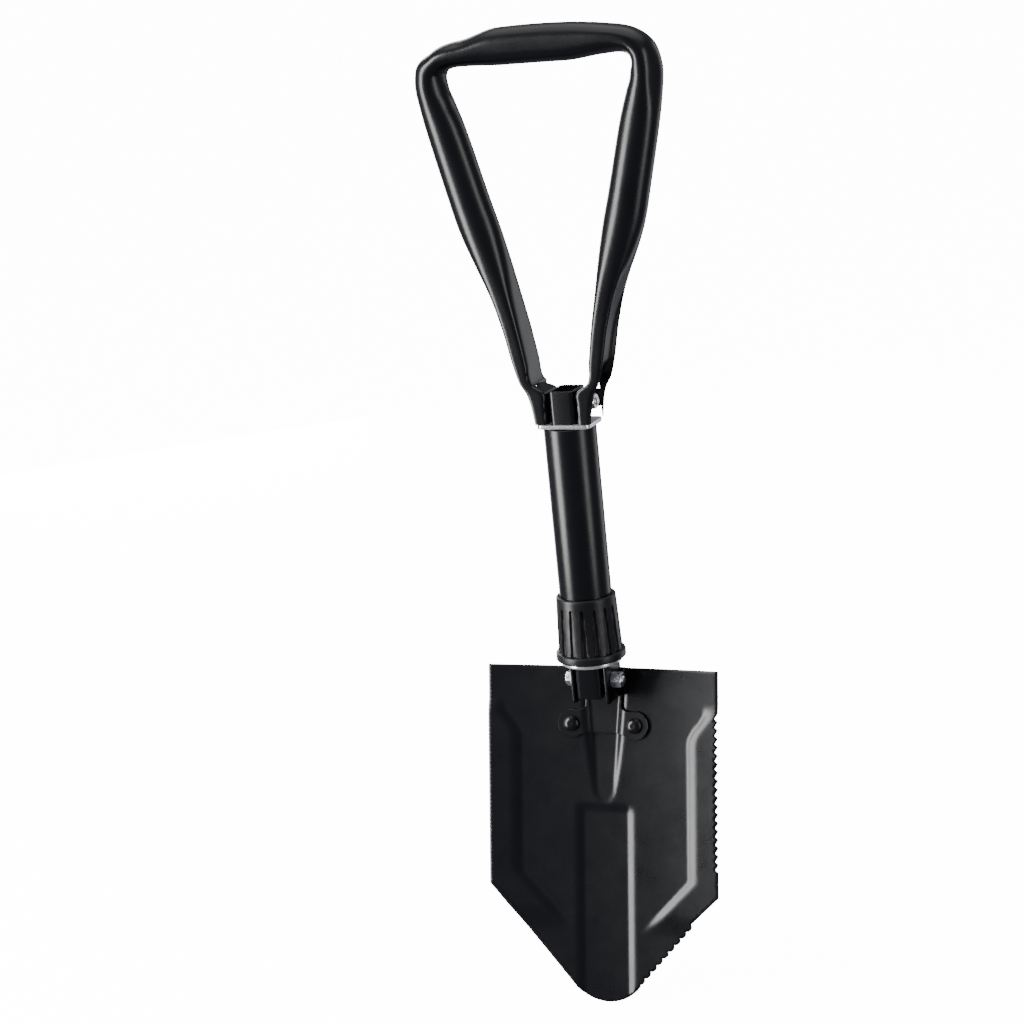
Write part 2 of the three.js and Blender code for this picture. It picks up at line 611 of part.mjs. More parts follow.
// One ear, in (y, z) from the pivot. It is round about the pivot wherever it passes the thrust ring.
function bracketEar() {
  const outside = EAR_IN + BRACKET_THICK;
  const toBase = (v) => new THREE.Vector3(0, v, bladeDepth(outside, v) - GAP - BRACKET_THICK / 2)
    .applyMatrix4(BLADE_FRAME);
  const [high, low] = [toBase(NECK_FROM), toBase(17)];
  const ear = new THREE.Shape();
  ear.moveTo(EAR_FRONT, EAR_TOP - 2);
  ear.quadraticCurveTo(EAR_FRONT, EAR_TOP, EAR_FRONT + 2, EAR_TOP);
  ear.lineTo(14.5, EAR_TOP);
  ear.quadraticCurveTo(high.y, EAR_TOP - 1, high.y, high.z);
  ear.lineTo(low.y, low.z);
  ear.lineTo(7, EAR_BOTTOM_Z);
  ear.lineTo(EAR_FRONT + 2, EAR_BOTTOM_Z + 0.5);
  ear.quadraticCurveTo(EAR_FRONT, EAR_BOTTOM_Z + 0.5, EAR_FRONT, EAR_BOTTOM_Z + 2.5);
  ear.closePath();
  return ear;
}

function bladeBracket() {
  const ear = solid(prismAlongX(bracketEar(), EAR_IN, EAR_IN + BRACKET_THICK));
  const holes = solid(turnedAlongX(rodProfile(BOLT_HOLE_R, -20, 20)));
  const base = bracketBase().subtract(rivetHole(-1)).subtract(rivetHole(1));
  const placed = base.transform(BLADE_FRAME.toArray());
  return placed.add(ear).add(ear.mirror([1, 0, 0])).subtract(holes);
}

// A rivet: dome on the bracket, shank through both sheets and a low tail behind the blade.
function rivet(side) {
  const { x, y, z } = rivetAt(side);
  const seat = -(2 * GAP + BRACKET_THICK);
  const back = BLADE_THICK + GAP;
  const dome = [0, 1, 2, 3].map((k) => {
    const turn = (k / 4) * Math.PI / 2;
    return [RIVET_DOME_R * Math.cos(turn), seat - RIVET_DOME_H * Math.sin(turn)];
  });
  const profile = [
    [0, seat - RIVET_DOME_H], ...dome.reverse(), [RIVET_SHANK, seat],
    [RIVET_SHANK, back], [RIVET_TAIL_R, back], [RIVET_TAIL_R - 1, back + RIVET_TAIL_H], [0, back + RIVET_TAIL_H],
  ];
  const slope = side * Math.atan(2 * DISH * RIVET_X / (BLADE_W / 2) ** 2);
  return solid(turned(profile, 16).rotateY(slope).translate(x, y, z));
}

// ---- assembly -------------------------------------------------------------------------------------

const shovel = new THREE.Group();
shovel.position.z = -HOLD_HEIGHT;

const bladeFrameMeshes = new THREE.Group();
bladeFrameMeshes.applyMatrix4(BLADE_FRAME);
bladeFrameMeshes.add(
  named('blade', bladeSheet(), coat()),
  named('rivet_left', rivet(-1), coat()),
  named('rivet_right', rivet(1), coat()),
);

const handleHinge = new THREE.Group();
handleHinge.position.z = PIVOT_SPACING;
const handleWeb = EAR_INNER + LEG_WALL;
const handleWasher = handleWeb + GAP;
const handleSeat = handleWasher + WASHER_THICK + GAP;
handleHinge.add(
  named('handle_foot_left', handleFoot(-1), coat()),
  named('handle_foot_right', handleFoot(1), coat()),
  named('handle_leg_left', handleLeg(-1), coat()),
  named('handle_leg_right', handleLeg(1), coat()),
  named('handle_grip', handleGrip(), coat()),
  named('handle_bush', pivotBush(EAR_INNER - GAP), steel()),
  named('handle_bolt', hexBolt(handleSeat, handleSeat + HANDLE_NUT_H + BOLT_END), zinc()),
  named('handle_washer_left', washer(-handleWasher - WASHER_THICK), zinc()),
  named('handle_washer_right', washer(handleWasher), zinc()),
  named('handle_nut', hexNut(handleSeat, HANDLE_NUT_H), zinc()),
);

const bladeHinge = new THREE.Group();
const bladeSeat = EAR_IN + BRACKET_THICK + GAP;
bladeHinge.add(
  named('blade_bracket', bladeBracket(), coat()),
  named('blade_bush', pivotBush(EAR_IN - GAP), steel()),
  named('blade_bolt', hexBolt(bladeSeat + WASHER_THICK + GAP, bladeSeat + BLADE_NUT_H + BOLT_END), zinc()),
  named('blade_washer', washer(-bladeSeat - WASHER_THICK), zinc()),
  named('blade_nut', hexNut(bladeSeat, BLADE_NUT_H), zinc()),
);

shovel.add(
  named('core_strut', coreStrut(), steel()),
  named('shaft_tube', shaftTube(), coat()),
  named('top_plate', topPlate(), zinc()),
  named('threaded_sleeve', threadedSleeve(), zinc()),
  named('thrust_ring', thrustRing(), zinc()),
  named('lock_collar', lockCollar(), nylon()),
  named('collar_insert', collarInsert(), steel()),
  handleHinge, bladeHinge, bladeFrameMeshes,
);

export default shovel;
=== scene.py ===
"""Tri-fold camp shovel, opened and locked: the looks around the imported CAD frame.

Shapes are worked out in millimetres in the tool's own frame (+Z up the shaft, -Y the blade's hollow
side, +X the saw edge) and written to Blender in metres.
"""

import json
import math

import bmesh
import bpy
import numpy as np
from mathutils import Matrix, Vector
from mathutils.geometry import delaunay_2d_cdt


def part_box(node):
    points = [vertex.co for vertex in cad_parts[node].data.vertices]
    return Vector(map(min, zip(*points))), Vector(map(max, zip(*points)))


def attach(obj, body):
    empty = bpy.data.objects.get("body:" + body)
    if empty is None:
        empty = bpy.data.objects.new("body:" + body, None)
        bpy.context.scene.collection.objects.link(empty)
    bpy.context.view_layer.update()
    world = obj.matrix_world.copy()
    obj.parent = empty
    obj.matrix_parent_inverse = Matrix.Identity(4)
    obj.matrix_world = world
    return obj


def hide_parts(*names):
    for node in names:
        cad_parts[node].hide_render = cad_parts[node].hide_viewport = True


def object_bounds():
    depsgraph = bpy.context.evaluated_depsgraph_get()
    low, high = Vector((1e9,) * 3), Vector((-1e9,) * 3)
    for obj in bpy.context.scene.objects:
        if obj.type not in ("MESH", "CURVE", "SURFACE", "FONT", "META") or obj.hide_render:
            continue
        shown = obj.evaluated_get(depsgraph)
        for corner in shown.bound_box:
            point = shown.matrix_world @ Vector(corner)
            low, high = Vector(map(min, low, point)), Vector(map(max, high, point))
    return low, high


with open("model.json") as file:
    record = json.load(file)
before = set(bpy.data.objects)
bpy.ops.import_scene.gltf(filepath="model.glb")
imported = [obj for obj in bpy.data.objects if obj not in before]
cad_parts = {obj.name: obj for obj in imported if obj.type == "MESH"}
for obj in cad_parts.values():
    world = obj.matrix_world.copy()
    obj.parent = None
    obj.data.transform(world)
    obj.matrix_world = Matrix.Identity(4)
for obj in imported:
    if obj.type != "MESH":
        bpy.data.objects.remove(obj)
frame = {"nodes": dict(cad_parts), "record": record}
CAD_BOUNDS = [[round(value, 6) for value in corner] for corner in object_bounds()]

MM = 0.001
PIVOTS = {
    joint["name"]: Vector(joint["pos_m"]) / MM
    for joint in frame["record"]["behaviour"]["joints"]
    if "pos_m" in joint
}
BLADE_PIVOT = PIVOTS["blade_fold"]
HANDLE_PIVOT = PIVOTS["handle_fold"]
SHAFT_Y = BLADE_PIVOT.y


def node_box(node):
    """A CAD node's lowest and highest corners, in millimetres."""
    return [Vector(corner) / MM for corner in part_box(node)]


def smoothstep(low, high, value):
    t = np.clip((np.asarray(value, float) - low) / (high - low), 0, 1)
    return t * t * (3 - 2 * t)


def mix(a, b, t):
    return a + (b - a) * t


# ---- writing meshes ---------------------------------------------------------------------------


def write_object(name, verts, faces, material, crease=32):
    """A smooth-shaded object whose edges sharper than crease degrees stay sharp."""
    mesh = bpy.data.meshes.new(name)
    mesh.from_pydata([tuple(v) for v in verts], [], [tuple(f) for f in faces])
    obj = bpy.data.objects.new(name, mesh)
    bpy.context.scene.collection.objects.link(obj)
    mesh.materials.append(material)
    finish_mesh(obj, crease)
    mesh.transform(Matrix.Scale(MM, 4))
    return obj


def finish_mesh(obj, crease):
    bm = bmesh.new()
    bm.from_mesh(obj.data)
    bmesh.ops.remove_doubles(bm, verts=bm.verts, dist=1e-4)
    bmesh.ops.dissolve_degenerate(bm, dist=1e-5, edges=bm.edges)
    bmesh.ops.recalc_face_normals(bm, faces=bm.faces)
    for face in bm.faces:
        face.smooth = True
    for edge in bm.edges:
        if len(edge.link_faces) == 2:
            edge.smooth = edge.calc_face_angle() < math.radians(crease)
    bm.to_mesh(obj.data)
    bm.free()


def place(obj, body, *nodes):
    """The object stands for CAD nodes and moves with their body."""
    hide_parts(*nodes)
    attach(obj, body)
    return obj


def ring_skin(rings, closed_ends=True):
    """Faces over rings that hold equally many points."""
    count = len(rings[0])
    verts = [point for ring in rings for point in ring]
    faces = []
    for i in range(len(rings) - 1):
        for j in range(count):
            k = (j + 1) % count
            faces.append((i * count + j, i * count + k, (i + 1) * count + k, (i + 1) * count + j))
    if closed_ends:
        faces.append(tuple(range(count))[::-1])
        faces.append(tuple((len(rings) - 1) * count + j for j in range(count)))
    return verts, faces


def revolve(radius_at, stations, count=128, closed_ends=True):
    """Rings about Z: radius_at(angle, station) at each station (radius offset, height)."""
    turns = [2 * math.pi * j / count for j in range(count)]
    rings = [
        [(radius_at(t, r, z) * math.cos(t), radius_at(t, r, z) * math.sin(t), z) for t in turns]
        for r, z in stations
    ]
    return ring_skin(rings, closed_ends)


def turned(profile, count=128):
    """A solid of revolution from a closed profile of (radius, height)."""
    verts, faces = revolve(lambda t, r, z: r, profile, count, closed_ends=False)
    total = len(verts)
    wrap = [
        (total - count + j, total - count + (j + 1) % count, (j + 1) % count, j)
        for j in range(count)
    ]
    return verts, faces + wrap


def rounded(profile, radius, steps=4):
    """A closed profile with every corner rounded."""
    result = []
    for i, corner in enumerate(profile):
        here = Vector(corner)
        before = Vector(profile[i - 1]) - here
        after = Vector(profile[(i + 1) % len(profile)]) - here
        reach = min(radius, before.length * 0.45, after.length * 0.45)
        start, end = here + before.normalized() * reach, here + after.normalized() * reach
        for k in range(steps + 1):
            t = k / steps
            result.append(tuple(start * (1 - t) ** 2 + here * 2 * t * (1 - t) + end * t * t))
    return result


def along_x(verts):
    """Turns a shape made along Z to lie along X."""
    return [(z, x, y) for x, y, z in verts]


def moved(verts, offset):
    return [(x + offset[0], y + offset[1], z + offset[2]) for x, y, z in verts]


def rounded_rectangle(width, depth, radius, steps=8):
    points = []
    for k, (sx, sy) in enumerate([(1, 1), (-1, 1), (-1, -1), (1, -1)]):
        for i in range(steps + 1):
            turn = (k + i / steps) * math.pi / 2
            points.append((
                sx * (width / 2 - radius) + radius * math.cos(turn),
                sy * (depth / 2 - radius) + radius * math.sin(turn),
            ))
    return points


def apply_boolean(obj, cutter, operation="DIFFERENCE"):
    """Cuts or joins with an object that is then removed."""
    modifier = obj.modifiers.new("cut", "BOOLEAN")
    modifier.operation = operation
    modifier.object = cutter
    modifier.solver = "EXACT"
    depsgraph = bpy.context.evaluated_depsgraph_get()
    result = bpy.data.meshes.new_from_object(obj.evaluated_get(depsgraph))
    obj.modifiers.clear()
    obj.data = result
    bpy.data.objects.remove(cutter, do_unlink=True)


# ---- materials ----------------------------------------------------------------------------------


class Shader:
    """A node material built up by name."""

    def __init__(self, name, colour, roughness, metallic=0.0, specular=0.5):
        self.material = bpy.data.materials.new(name)
        self.material.use_nodes = True
        self.tree = self.material.node_tree
        self.principled = self.tree.nodes["Principled BSDF"]
        self.principled.inputs["Base Color"].default_value = (*colour, 1)
        self.principled.inputs["Roughness"].default_value = roughness
        self.principled.inputs["Metallic"].default_value = metallic
        self.principled.inputs["Specular IOR Level"].default_value = specular
        self.coords = self.tree.nodes.new("ShaderNodeTexCoord").outputs["Object"]

    def node(self, kind, settings=(), **inputs):
        node = self.tree.nodes.new(kind)
        for key, value in settings:
            setattr(node, key, value)
        for key, value in inputs.items():
            socket = node.inputs[key.replace("_", " ")]
            if isinstance(value, bpy.types.NodeSocket):
                self.tree.links.new(value, socket)
            else:
                socket.default_value = value
        return node

    def mapped(self, scale):
        node = self.node("ShaderNodeMapping", Vector=self.coords)
        node.inputs["Scale"].default_value = scale
        return node.outputs[0]

    def noise(self, scale, detail=3.0, stretch=(1, 1, 1), roughness=0.5):
        vector = self.mapped(stretch)
        node = self.node("ShaderNodeTexNoise", Vector=vector, Scale=scale, Detail=detail, Roughness=roughness)
        return node.outputs["Fac"]

    def ramp(self, value, low, high, to_low=0.0, to_high=1.0):
        node = self.node("ShaderNodeMapRange", Value=value)
        for key, number in zip(("From Min", "From Max", "To Min", "To Max"), (low, high, to_low, to_high)):
            node.inputs[key].default_value = number
        return node.outputs[0]

    def math(self, operation, a, b):
        node = self.node("ShaderNodeMath", settings=[("operation", operation)])
        for socket, value in zip(node.inputs, (a, b)):
            if isinstance(value, bpy.types.NodeSocket):
                self.tree.links.new(value, socket)
            else:
                socket.default_value = value
        return node.outputs[0]

    def blend(self, factor, low, high):
        node = self.node("ShaderNodeMix", settings=[("data_type", "RGBA")])
        self.tree.links.new(factor, node.inputs["Factor"])
        for socket, value in ((node.inputs[6], low), (node.inputs[7], high)):
            if isinstance(value, bpy.types.NodeSocket):
                self.tree.links.new(value, socket)
            else:
                socket.default_value = (*value, 1)
        return node.outputs[2]

    def bump(self, height, distance, strength=1.0, base=None):
        node = self.node("ShaderNodeBump", Height=height, Distance=distance, Strength=strength)
        if base is not None:
            self.tree.links.new(base, node.inputs["Normal"])
        return node.outputs[0]

    def set(self, socket, value):
        self.tree.links.new(value, self.principled.inputs[socket])

    def attribute(self, name):
        return self.node("ShaderNodeAttribute", settings=[("attribute_name", name)]).outputs["Fac"]


COAT_DARK = (0.0017, 0.0018, 0.0026)
COAT_LIGHT = (0.0021, 0.0022, 0.0031)
BARE_STEEL = (0.20, 0.20, 0.205)
ZINC_DARK = (0.66, 0.66, 0.67)
ZINC_LIGHT = (0.8, 0.8, 0.8)


def powder_coat(name, wear=0.0):
    """Black powder coat: orange peel, a little mottling, dust and fine rubbed marks."""
    shader = Shader(name, COAT_DARK, 0.3, specular=0.4)
    mottle = shader.noise(22, 4)
    colour = shader.blend(shader.ramp(mottle, 0.35, 0.7), COAT_DARK, COAT_LIGHT)
    dust = shader.ramp(shader.noise(2600, 1), 0.74, 0.82, 0, 0.02)
    colour = shader.blend(dust, colour, (0.08, 0.08, 0.085))
    rough = shader.ramp(shader.noise(60, 3), 0.3, 0.7, 0.27, 0.31)
    if wear > 0:
        fine = shader.noise(90, 2, stretch=(1, 1, 18))
        slant = shader.noise(70, 2, stretch=(14, 1, 3))
        lines = shader.math("MAXIMUM", shader.ramp(fine, 0.715, 0.735), shader.ramp(slant, 0.735, 0.75))
        patches = shader.ramp(shader.noise(16, 2), 0.52, 0.68)
        near_point = shader.ramp(shader.attribute("point"), 0.0, 1.0)
        marks = shader.math("MULTIPLY", shader.math("MULTIPLY", lines, patches), near_point)
        broken = shader.ramp(shader.noise(240, 3), 0.46, 0.62)
        edge = shader.math("MULTIPLY", shader.attribute("edge"), broken)
        rubbed = shader.math("MULTIPLY", shader.math("MAXIMUM", marks, edge), wear)
        colour = shader.blend(rubbed, colour, BARE_STEEL)
        rough = shader.math("SUBTRACT", rough, shader.math("MULTIPLY", rubbed, 0.1))
    shader.set("Base Color", colour)
    shader.set("Roughness", rough)
    peel = shader.bump(shader.noise(900, 2), 0.00006, 0.35)
    shader.set("Normal", shader.bump(shader.noise(240, 2), 0.00008, 0.2, base=peel))
    return shader.material


def zinc_plate(name, streak=(1, 1, 1), metallic=0.72):
    """Bright zinc plating with faint drag marks and dull patches."""
    shader = Shader(name, ZINC_LIGHT, 0.3, metallic=metallic)
    cloud = shader.noise(110, 2)
    shader.set("Base Color", shader.blend(shader.ramp(cloud, 0.3, 0.7), ZINC_DARK, ZINC_LIGHT))
    shader.set("Roughness", shader.ramp(shader.noise(420, 3, stretch=streak), 0.3, 0.7, 0.2, 0.3))
    shader.set("Normal", shader.bump(shader.noise(1800, 2, stretch=streak), 0.00001, 0.15))
    return shader.material


def machined_steel(name):
    """Oiled turned steel: fine rings of tool marks."""
    shader = Shader(name, (0.36, 0.36, 0.37), 0.34, metallic=1.0)
    marks = shader.noise(1400, 2, stretch=(1, 0.1, 0.1))
    cloud = shader.ramp(shader.noise(120, 3), 0.3, 0.7)
    shader.set("Base Color", shader.blend(cloud, (0.24, 0.24, 0.25), (0.42, 0.42, 0.42)))
    shader.set("Roughness", shader.ramp(marks, 0.3, 0.7, 0.25, 0.45))
    shader.set("Normal", shader.bump(marks, 0.00003, 0.4))
    return shader.material


def moulded_nylon(name):
    """Black glass-filled nylon: fine spark-eroded texture with dull swirls."""
    shader = Shader(name, (0.006, 0.0063, 0.0072), 0.38, specular=0.35)
    swirl = shader.noise(45, 4, stretch=(1, 1, 0.4))
    shader.set("Base Color", shader.blend(
        shader.ramp(swirl, 0.35, 0.7), (0.005, 0.0053, 0.006), (0.0085, 0.0089, 0.0098)))
    shader.set("Roughness", shader.ramp(shader.noise(130, 4), 0.3, 0.7, 0.32, 0.44))
    grain = shader.bump(shader.noise(2600, 2), 0.00005, 0.5)
    shader.set("Normal", shader.bump(shader.noise(500, 2), 0.00005, 0.25, base=grain))
    return shader.material


# ---- core strut, tube and plate -------------------------------------------------------------------

TUBE_WALL = 1.5
CORE_WALL = 1.6
CORE_CORNER = 3.0


def core_strut():
    low, high = node_box("core_strut")
    width, depth = high.x - low.x, high.y - low.y
    outline = lambda inset: [
        (x, y + SHAFT_Y) for x, y in
        rounded_rectangle(width - 2 * inset, depth - 2 * inset, CORE_CORNER - inset)
    ]
    edge = 0.45
    stations = []
    for k in range(5):
        turn = k / 4 * math.pi / 2
        stations.append((edge * (1 - math.sin(turn)), low.z + edge * (1 - math.cos(turn))))
    for k in range(5):
        turn = k / 4 * math.pi / 2
        stations.append((edge * (1 - math.cos(turn)), high.z - edge * (1 - math.sin(turn))))
    for z in (high.z, high.z - 1, low.z + 1, low.z):
        stations.append((CORE_WALL, z))
    rings = [[(x, y, z) for x, y in outline(inset)] for inset, z in stations]
    verts, faces = ring_skin(rings, closed_ends=False)
    count, total = len(rings[0]), len(verts)
    faces += [(total - count + j, total - count + (j + 1) % count, (j + 1) % count, j) for j in range(count)]
    obj = write_object("core_strut_tube", verts, faces, COAT)
    return place(obj, "core", "core_strut")


def shaft_tube():
    low, high = node_box("shaft_tube")
    radius = (high.x - low.x) / 2
    profile = rounded([
        (radius - TUBE_WALL, low.z), (radius, low.z), (radius, high.z), (radius - TUBE_WALL, high.z),
    ], 0.4)
    verts, faces = turned(profile, 160)
    obj = write_object("outer_shaft", moved(verts, (0, SHAFT_Y, 0)), faces, COAT)
    return place(obj, "outer_tube", "shaft_tube")


def top_plate():
    low, high = node_box("top_plate")
    outer = lambda inset: rounded_rectangle(high.x - low.x - 2 * inset, high.y - low.y - 2 * inset, 4 - inset)
    core_low, core_high = node_box("core_strut")
    clear = 0.3
    inner = rounded_rectangle(
        core_high.x - core_low.x + 2 * clear, core_high.y - core_low.y + 2 * clear, CORE_CORNER)
    edge = 0.35
    rings = []
    for inset, z in ((edge, low.z), (0.1, low.z + 0.1), (0, low.z + edge), (0, high.z - edge),
                     (0.1, high.z - 0.1), (edge, high.z)):
        rings.append([(x, y + SHAFT_Y, z) for x, y in outer(inset)])
    for z in (high.z, low.z):
        rings.append([(x, y + SHAFT_Y, z) for x, y in inner])
    verts, faces = ring_skin(rings, closed_ends=False)
    count, total = len(rings[0]), len(verts)
    faces += [(total - count + j, total - count + (j + 1) % count, (j + 1) % count, j) for j in range(count)]
    obj = write_object("end_plate", verts, faces, ZINC)
    return place(obj, "outer_tube", "top_plate")


# ---- collar -----------------------------------------------------------------------------------------

GROOVES = 16
GROOVE_DEPTH = 1.35
FLANGE_H = 5.0
COLLAR_TOP_R = 18.3
COLLAR_LOW_R = 19.7


def lock_collar():
    low, high = node_box("lock_collar")
    flange = (high.x - low.x) / 2
    bore = 16.3
    height = high.z - low.z
    groove_low, groove_high = FLANGE_H - 0.2, height - 7.4

    def groove(turn, z):
        """Depth of the finger grooves, which widen towards the flange and have round tops."""
        pitch = 2 * math.pi / GROOVES
        off = abs((turn % pitch) - pitch / 2) * COLLAR_LOW_R
        half = mix(2.0, 1.15, (z - groove_low) / (groove_high - groove_low))
        over = max(0.0, z - groove_high)
        reach = math.hypot(off / half, over / 1.6)
        round_floor = math.sqrt(max(0.0, 1 - reach * reach))
        start = float(smoothstep(groove_low, groove_low + 0.5, z))
        return GROOVE_DEPTH * start * min(1.0, round_floor * 1.25)

    def radius(turn, r, z):
        return r - (groove(turn, z - low.z) if r > COLLAR_TOP_R - 0.3 else 0)

    body = lambda z: mix(COLLAR_LOW_R, COLLAR_TOP_R, (z - FLANGE_H) / (height - FLANGE_H))
    stations = [(bore, 0.0), (flange - 1.0, 0.0)]
    for k in range(1, 7):
        turn = k / 6 * math.pi / 2
        stations.append((flange - 1 + math.sin(turn), 1 - math.cos(turn)))
    for k in range(7):
        turn = k / 6 * math.pi / 2
        stations.append((flange - 1 + math.cos(turn), FLANGE_H - 1 + math.sin(turn)))
    stations.append((COLLAR_LOW_R + 0.5, FLANGE_H))
    rise = np.concatenate([
        np.linspace(FLANGE_H + 0.3, groove_high, 26),
        np.linspace(groove_high + 0.2, groove_high + 1.8, 9),
        np.linspace(groove_high + 2.4, height - 1.2, 4),
    ])
    stations += [(body(z), float(z)) for z in rise]
    for k in range(1, 7):
        turn = k / 6 * math.pi / 2
        stations.append((COLLAR_TOP_R - 1.1 + 1.1 * math.cos(turn), height - 1.1 + 1.1 * math.sin(turn)))
    stations.append((bore, height))
    verts, faces = revolve(radius, [(r, z + low.z) for r, z in stations], 24 * GROOVES, closed_ends=False)
    count, total = 24 * GROOVES, len(verts)
    faces += [(total - count + j, total - count + (j + 1) % count, (j + 1) % count, j) for j in range(count)]
    obj = write_object("ribbed_collar", moved(verts, (0, SHAFT_Y, 0)), faces, NYLON, crease=38)
    return place(obj, "collar", "lock_collar")


def thrust_ring():
    low, high = node_box("thrust_ring")
    radius = (high.x - low.x) / 2
    profile = rounded([(16.5, low.z), (radius, low.z), (radius, high.z), (16.5, high.z)], 0.45)
    verts, faces = turned(profile, 144)
    obj = write_object("clamp_washer", moved(verts, (0, SHAFT_Y, 0)), faces, ZINC)
    return place(obj, "clamp_ring", "thrust_ring")


# ---- bolts, nuts and washers ------------------------------------------------------------------------

BOLT_R = 2.5
HEAD_H = 3.6
FLANGE_INNER_R, FLANGE_R = 2.2, 4.1
THREAD_PITCH = 0.8
THREAD_DEPTH = 0.5


def hexagon_radius(turn, flats):
    off = (turn % (math.pi / 3)) - math.pi / 6
    return flats / 2 / math.cos(off)


def hexagon(start, end, flats, chamfer=(1.0, 1.0), hole=0.0):
    """A hexagonal bar along Z whose ends are turned to a chamfer."""
    steps = np.linspace(0, 1, 7)
    heights = [start + chamfer[0] * t for t in steps] + [end - chamfer[1] * t for t in steps[::-1]]
    corner = flats / 2 / math.cos(math.pi / 6)

    def radius(turn, r, z):
        room = min((z - start) / chamfer[0] if chamfer[0] else 1, (end - z) / chamfer[1] if chamfer[1] else 1)
        cone = flats / 2 * 0.97 + (corner - flats / 2 * 0.97) * 1.05 * min(1.0, max(0.0, room))
        return r if r else min(hexagon_radius(turn, flats), cone)

    stations = [(0, z) for z in heights]
    if hole:
        stations = [(hole, start), (0, start)] + stations[1:] + [(hole, end)]
        verts, faces = revolve(radius, stations, 96, closed_ends=False)
        total = len(verts)
        faces += [(total - 96 + j, total - 96 + (j + 1) % 96, (j + 1) % 96, j) for j in range(96)]
        return verts, faces
    return revolve(radius, stations, 96)


def thread(start, end, radius):
    """A threaded rod end along Z with a chamfered tip."""
    count = int((end - start) / 0.1)

    def surface(turn, _, z):
        phase = (z / THREAD_PITCH - turn / (2 * math.pi)) % 1
        ridge = abs(2 * phase - 1)
        tip = max(0.0, (z - end + 0.7)) * 0.9
        return radius - THREAD_DEPTH * ridge - tip

    stations = [(0, mix(start, end, k / count)) for k in range(count + 1)]
    return revolve(surface, stations, 64)


def joined(*parts):
    verts, faces = [], []
    for part_verts, part_faces in parts:
        faces += [tuple(index + len(verts) for index in face) for face in part_faces]
        verts += list(part_verts)
    return verts, faces


def ring_section(inner, outer, start, end, radius):
    """A ring's cross-section, with its corners rounded."""
    return rounded([(inner, start), (outer, start), (outer, end), (inner, end)], radius)


def hex_bolt(name, node, pivot):
    low, high = node_box(node)
    head = HEAD_H
    shank = revolve(lambda t, r, z: BOLT_R, [(0, low.x + head - 0.2), (0, high.x - 6)], 48)
    flange = turned(ring_section(FLANGE_INNER_R, FLANGE_R, low.x + head - 0.5, low.x + head, 0.15), 64)
    verts, faces = joined(
        hexagon(low.x, low.x + head - 0.3, high.z - low.z, (1.1, 0)),
        flange, shank, thread(high.x - 6.2, high.x, BOLT_R))
    obj = write_object(name, moved(along_x(verts), (0, pivot.y, pivot.z)), faces, ZINC_FASTENER, crease=24)
    return place(obj, "core", node)


def washer(name, node, pivot):
    low, high = node_box(node)
    outer = (high.y - low.y) / 2
    verts, faces = turned(ring_section(BOLT_R + 0.3, outer, low.x, high.x, 0.25), 96)
    obj = write_object(name, moved(along_x(verts), (0, pivot.y, pivot.z)), faces, ZINC)
    return place(obj, "core", node)


def hex_nut(name, node, pivot):
    low, high = node_box(node)
    verts, faces = hexagon(low.x, high.x, high.z - low.z, (0.45, 0.7), hole=BOLT_R + 0.1)
    obj = write_object(name, moved(along_x(verts), (0, pivot.y, pivot.z)), faces, ZINC_FASTENER, crease=24)
    return place(obj, "core", node)


# ---- handle -------------------------------------------------------------------------------------------

EAR_BOTTOM = -11.7
EAR_SWING_R = 11.7
EAR_CUT_FRONT = -7.0
LEG_CLEAR_X = 17.3
RECESS = 3.0
RECESS_FADE, RECESS_TOP = 48.0, 95.0
CHANNEL_WALL = 1.8
LEG_DEPTH = 12.3
TUBE_DEPTH = 11.7
GRIP_HEIGHT = 212.0
CORNER_PRESS = {1: 0.5, -1: 4.0}
CORNER_PINCH = {1: 2.4, -1: 0.8}

# One leg and half the grip, as in the CAD frame: centre across, centre above the pivot, turn of the
# section out of level, half thickness, half depth, squareness.
HANDLE_STATIONS = [
    (14.0, EAR_BOTTOM, 0, 4.2, LEG_DEPTH, 0.3),
    (14.9, 0, 0, 5.1, LEG_DEPTH, 0.3),
    (16.0, 7, 0, 6.2, LEG_DEPTH, 0.3),
    (21.8, 13.2, 0, 3.9, LEG_DEPTH, 0.32),
    (24.4, 25, 0, 5.0, LEG_DEPTH, 0.36),
    (28.2, 45, 0, 5.8, LEG_DEPTH, 0.45),
    (33.2, 65, 0, 7.4, 12.1, 0.6),
    (39.4, 85, 0, 10.6, 11.9, 0.85),
    (45.6, 105, 0, 12.7, TUBE_DEPTH, 1),
    (51.0, 125, 0, 12.5, TUBE_DEPTH, 1),
    (61.0, 165, 0, 11.9, TUBE_DEPTH, 1),
    (65.4, 182, 4, 10.8, 11.9, 1),
    (67.2, 192, 20, 10.2, 12.1, 1),
    (65.4, 202, 46, 9.9, 12.1, 1),
    (58.0, 208.2, 70, 9.9, 12.0, 1),
    (44.0, 210.7, 84, 10.4, 11.7, 1),
    (22.0, 211.7, 89, 11.0, 11.3, 1),
    (0, GRIP_HEIGHT, 90, 11.2, 11.2, 1),
]


